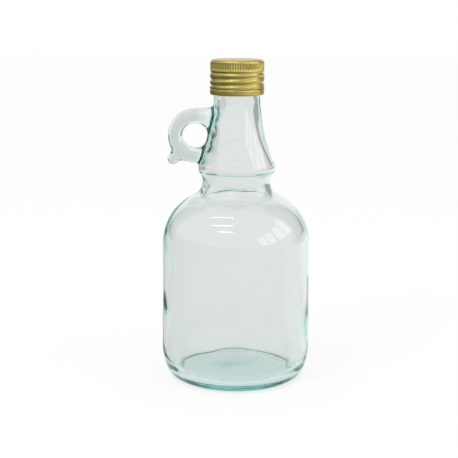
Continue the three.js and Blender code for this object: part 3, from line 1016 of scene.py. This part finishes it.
def inside_outline():
    """The cavity, from the middle of the floor to a little above the lip."""
    inner = BODY_R - BODY_WALL
    corner, corner_top = 7.4, HEEL_H + 1
    low, middle = 4.6, PUSH_UP + 5.2
    share = np.linspace(0, 1, 25)
    floor = np.stack([(inner - corner) * share, low + (middle - low) * np.cos(share * math.pi / 2) ** 2], 1)
    return chained(
        floor,
        arc(inner - corner, corner_top, corner, corner_top - low, -90, 0, 24),
        straight((inner, corner_top), (inner, SHOULDER_Z), 40),
        neck_outline(BODY_WALL, BORE_R, 0.9),
        straight((BORE_R, NECK_Z), (BORE_R, LIP_Z - 0.5), 10),
        arc(BORE_R + 0.5, LIP_Z - 0.5, 0.5, 0.5, 180, 90, 4),
        straight((BORE_R + 0.5, LIP_Z), (BORE_R + 0.5, LIP_Z + 1), 1),
        straight((BORE_R + 0.5, LIP_Z + 1), (0, LIP_Z + 1), 1),
    )


def ripple_floor(cavity):
    """Lifts and lowers the cavity's floor a little, as glass that settled in the mould."""
    for vertex in cavity.data.vertices:
        x, y, z = np.array(vertex.co) / MM
        share = max(0.0, 1 - z / 24)
        wave = math.sin(x / 3.1 + 0.4) * math.cos(y / 2.7) + 0.6 * math.sin(x / 1.7 - y / 2.1)
        vertex.co.z += 0.08 * share * wave * min(1.0, math.hypot(x, y) / 4) * MM
    return cavity


combine(jug, ripple_floor(revolve("cavity", inside_outline(), 144, uneven)), "DIFFERENCE")
smooth(jug, 40)
print("jug:", len(jug.data.polygons), "faces")

# %% [markdown]
# The finished glass is one mesh. It rides the jug's body and takes the place of all the packed
# glass solids.

# %% Hand over the jug
jug.data.materials.clear()
jug.data.materials.append(CLEAR_GLASS)
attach(jug, "jug")
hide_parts(*GLASS_NODES)

# %% [markdown]
# ## Rolled metal
# The cap starts as a cup of thin lacquered aluminium. On the bottle its crown already has fine
# upright grip ridges, and rollers press the skirt in between the glass threads and under the lock
# ring. A sheet's two faces follow each other, so the outline is drawn once and moved in by the
# sheet's thickness.

# %% Shell and band
SHEET = 0.25
CAP_ROUND = 2.2
GRIP_DOWN = 6.4
SKIRT_DOWN = 8.6
ROLL_DEPTH = 0.7


def sheet_outline(outer):
    """A closed outline of thin sheet, from its outer face, given from the top down."""
    before = np.roll(outer, 1, axis=0)
    after = np.roll(outer, -1, axis=0)
    before[0], after[-1] = outer[0], outer[-1]
    run = after - before
    run /= np.linalg.norm(run, axis=1)[:, None]
    inner = outer + SHEET * np.stack([run[:, 1], -run[:, 0]], 1)
    inner[:, 0] = np.maximum(inner[:, 0], 0)
    return np.concatenate([inner, outer[::-1]])


def rolled(angle, z, radius):
    """Presses the skirt in, half a turn's rise below the thread."""
    if z > CAP_Z - SKIRT_DOWN or z < SHELL_Z + 0.8:
        return radius
    low = z + PITCH / 2
    return radius - ROLL_DEPTH * helix_share(angle, low, THREAD_TOP + 180, THREAD_TURNS + 0.25, 1.3)


def shell_outline():
    """The cap from the middle of its crown to the slit."""
    groove = CAP_Z - 7.5
    return sheet_outline(chained(
        straight((0, CAP_Z), (GRIP_R - CAP_ROUND, CAP_Z), 10),
        arc(GRIP_R - CAP_ROUND, CAP_Z - CAP_ROUND, CAP_ROUND, CAP_ROUND, 90, 0, 10),
        straight((GRIP_R, CAP_Z - CAP_ROUND), (GRIP_R, CAP_Z - GRIP_DOWN), 14),
        arc(GRIP_R - 0.35, CAP_Z - GRIP_DOWN, 0.35, 0.35, 0, -60, 3),
        arc(SKIRT_R + 0.15, groove, 0.65, 0.65, 140, 220, 6),
        arc(SKIRT_R - 0.3, CAP_Z - SKIRT_DOWN, 0.3, 0.3, 60, 0, 2),
        straight((SKIRT_R, CAP_Z - SKIRT_DOWN - 0.01), (SKIRT_R, SLIT_HIGH), 34),
    ))


GRIP_RIDGES = 66
cap = revolve("cap_metal", shell_outline(), GRIP_RIDGES * 6, rolled)
print("cap shell:", len(cap.data.polygons), "faces")

# %% [markdown]
# The crown's ridges are pressed in between two heights by a tree that moves points inwards along
# a cosine round the axis. It keeps the sheet's two faces together, because both move alike, and
# it fades out at both ends like the mark of a real tool.

# %% Grip ridges of the crown


def crown_grip():
    """A tree that presses upright grooves into a turned crown, between two heights."""
    tree, given, out = new_tree("crown_grip", Ridges="Int", Depth="Float", Low="Float",
                                High="Float", Fade="Float", Material="Material")
    where = add_node(tree, "GeometryNodeInputPosition")
    split = add_node(tree, "ShaderNodeSeparateXYZ", Vector=where.outputs[0])
    angle = calculate(tree, "ARCTAN2", split.outputs["Y"], split.outputs["X"])
    wave = calculate(tree, "COSINE", calculate(tree, "MULTIPLY", angle, given.outputs["Ridges"]))
    groove = calculate(tree, "MULTIPLY_ADD", wave, -0.5, 0.5)
    above = calculate(tree, "SUBTRACT", split.outputs["Z"], given.outputs["Low"])
    below = calculate(tree, "SUBTRACT", given.outputs["High"], split.outputs["Z"])
    nearest = calculate(tree, "MINIMUM", above, below)
    share = calculate(tree, "DIVIDE", nearest, given.outputs["Fade"], clamp=True)
    depth = calculate(tree, "MULTIPLY", calculate(tree, "MULTIPLY", groove, share),
                      given.outputs["Depth"])
    flat = add_node(tree, "ShaderNodeCombineXYZ", X=split.outputs["X"], Y=split.outputs["Y"])
    outward = add_node(tree, "ShaderNodeVectorMath", operation="NORMALIZE", Vector=flat.outputs[0])
    inward = add_node(tree, "ShaderNodeVectorMath", operation="SCALE", Vector=outward.outputs[0],
                      Scale=calculate(tree, "MULTIPLY", depth, -1.0))
    move = add_node(tree, "GeometryNodeSetPosition", Geometry=given.outputs["Geometry"],
                    Offset=inward.outputs[0])
    close_tree(tree, move.outputs[0], given, out)
    return tree


grow(cap, crown_grip(), Ridges=GRIP_RIDGES, Depth=0.42 * MM, Low=(CAP_Z - GRIP_DOWN + 0.1) * MM,
     High=(CAP_Z - CAP_ROUND + 0.9) * MM, Fade=0.9 * MM, Material=GOLD_METAL)

# %% [markdown]
# The tamper band is a second strip of the same sheet. Its upper rim leans in, where the knife cut
# it, and its lower edge is turned in under the glass's lock ring. It must not touch the shell.

# %% Tamper band


def band_outline():
    """The tamper band, from the slit to the edge turned in under the lock ring."""
    corner = 0.8
    return sheet_outline(chained(
        arc(SKIRT_R - 0.6, SLIT_LOW - 0.9, 0.6, 0.9, 80, 0, 8),
        straight((SKIRT_R, SLIT_LOW - 0.9), (SKIRT_R, CAP_EDGE_Z + corner), 8),
        arc(SKIRT_R - corner, CAP_EDGE_Z + corner, corner, corner, 0, -90, 8),
        straight((SKIRT_R - corner, CAP_EDGE_Z), (SKIRT_R - 1.1, CAP_EDGE_Z), 2),
    ))


outline = band_outline()
band = revolve("band_metal", np.concatenate([outline, outline[:1]]), 240)
print("tamper band:", len(band.data.polygons), "faces")

# %% [markdown]
# Eight bridges hold band and shell together until the cap is first turned. Each is two short
# tongues, one on either side, because the two pieces must be able to part.

# %% Bridges across the slit
BRIDGES = 8
BRIDGE_W = 1.2
BRIDGE_TURN = math.radians(-92.5)
BRIDGE_GAP = 0.03  # from each tongue's end to the slit's middle
bridge_ring = ring_of("bridges", "GeometryNodeMeshCube", "Size")


def add_bridges(sheet, low, high):
    """Eight little tongues of sheet between two heights."""
    grow(sheet, bridge_ring, Count=BRIDGES, Radius=(SKIRT_R - SHEET / 2) * MM,
         Height=(low + high) / 2 * MM, Turn=BRIDGE_TURN,
         Size=[SHEET * MM, BRIDGE_W * MM, (high - low) * MM], Material=GOLD_METAL)


middle = (SLIT_LOW + SLIT_HIGH) / 2
add_bridges(cap, middle + BRIDGE_GAP, SLIT_HIGH + 0.3)
add_bridges(band, SLIT_LOW - 0.9, middle - BRIDGE_GAP)
for piece, body in ((cap, "cap"), (band, "band")):
    smooth(piece, 45)
    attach(piece, body)
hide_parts("cap_shell")
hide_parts("tamper_band")

# %% [markdown]
# Shell and band keep the same gold, so both fill the same material slot.

# %% Hand over the cap
for piece in (cap, band):
    piece.data.materials.clear()
    piece.data.materials.append(GOLD_METAL)

# %% [markdown]
# ## The liner
# The liner is punched from one laminated sheet and snapped into the crown: a soft polythene foam
# between two thin glossy films. Three turned discs with a slightly bulging cut edge show that it is
# a pressed stack. Foam shows its cells as a fine bump, and film is glossy and milky.

# %% Foam and film


def make_ply(name, colour, roughness, cell_size, cell_depth):
    """A white plastic whose surface is broken by cells or by faint rolling waves."""
    material, tree = new_material(name + "_plastic")
    place = add_node(tree, "ShaderNodeTexCoord").outputs["Object"]
    cells = add_node(tree, "ShaderNodeTexVoronoi", Vector=place, Scale=1 / cell_size)
    cloud = add_node(tree, "ShaderNodeTexNoise", Vector=place, Scale=90.0, Detail=2.0)
    tint = add_node(tree, "ShaderNodeMix", data_type="RGBA", Factor=cloud.outputs["Fac"],
                    A=(colour * 0.93, colour * 0.93, colour * 0.9, 1),
                    B=(colour, colour, colour * 0.98, 1))
    bump = add_node(tree, "ShaderNodeBump", Height=cells.outputs["Distance"], Strength=0.4,
                    Distance=cell_depth)
    skin = add_node(tree, "ShaderNodeBsdfPrincipled", Base_Color=tint.outputs["Result"],
                    Roughness=roughness, Normal=bump.outputs["Normal"])
    add_node(tree, "ShaderNodeOutputMaterial", Surface=skin.outputs[0])
    return material


FOAM = make_ply("liner_foam", 0.82, 0.75, 0.0004, 0.0001)
FILM = make_ply("liner_film", 0.86, 0.22, 0.004, 0.00002)

# %% Punch the plies


def punch(name, node, material):
    """A disc in a ply's place, with a bulged cut edge."""
    radius, low, high = reach(node)
    half = (high - low) / 2
    bulge = min(half, 0.3)
    edge = arc(radius - bulge, low + half, bulge, half, -90, 90, 8)
    ply = revolve(name, chained([[0, low]], edge, [[0, high]]), 128)
    ply.data.materials.append(material)
    smooth(ply)
    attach(ply, "liner")
    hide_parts(node)
    print(name, len(ply.data.polygons), "faces")
    return ply


punch("sealing_ply", "liner_sealing_film", FILM)
punch("foam_ply", "liner_foam", FOAM)
punch("backing_ply", "liner_backing_film", FILM)

# %% [markdown]
# ## Finish
# The number of triangles in each finished piece is printed.

# %% Finish
for piece in (jug, cap, band):
    piece.data.calc_loop_triangles()
    print(piece.name, len(piece.data.loop_triangles), "triangles")
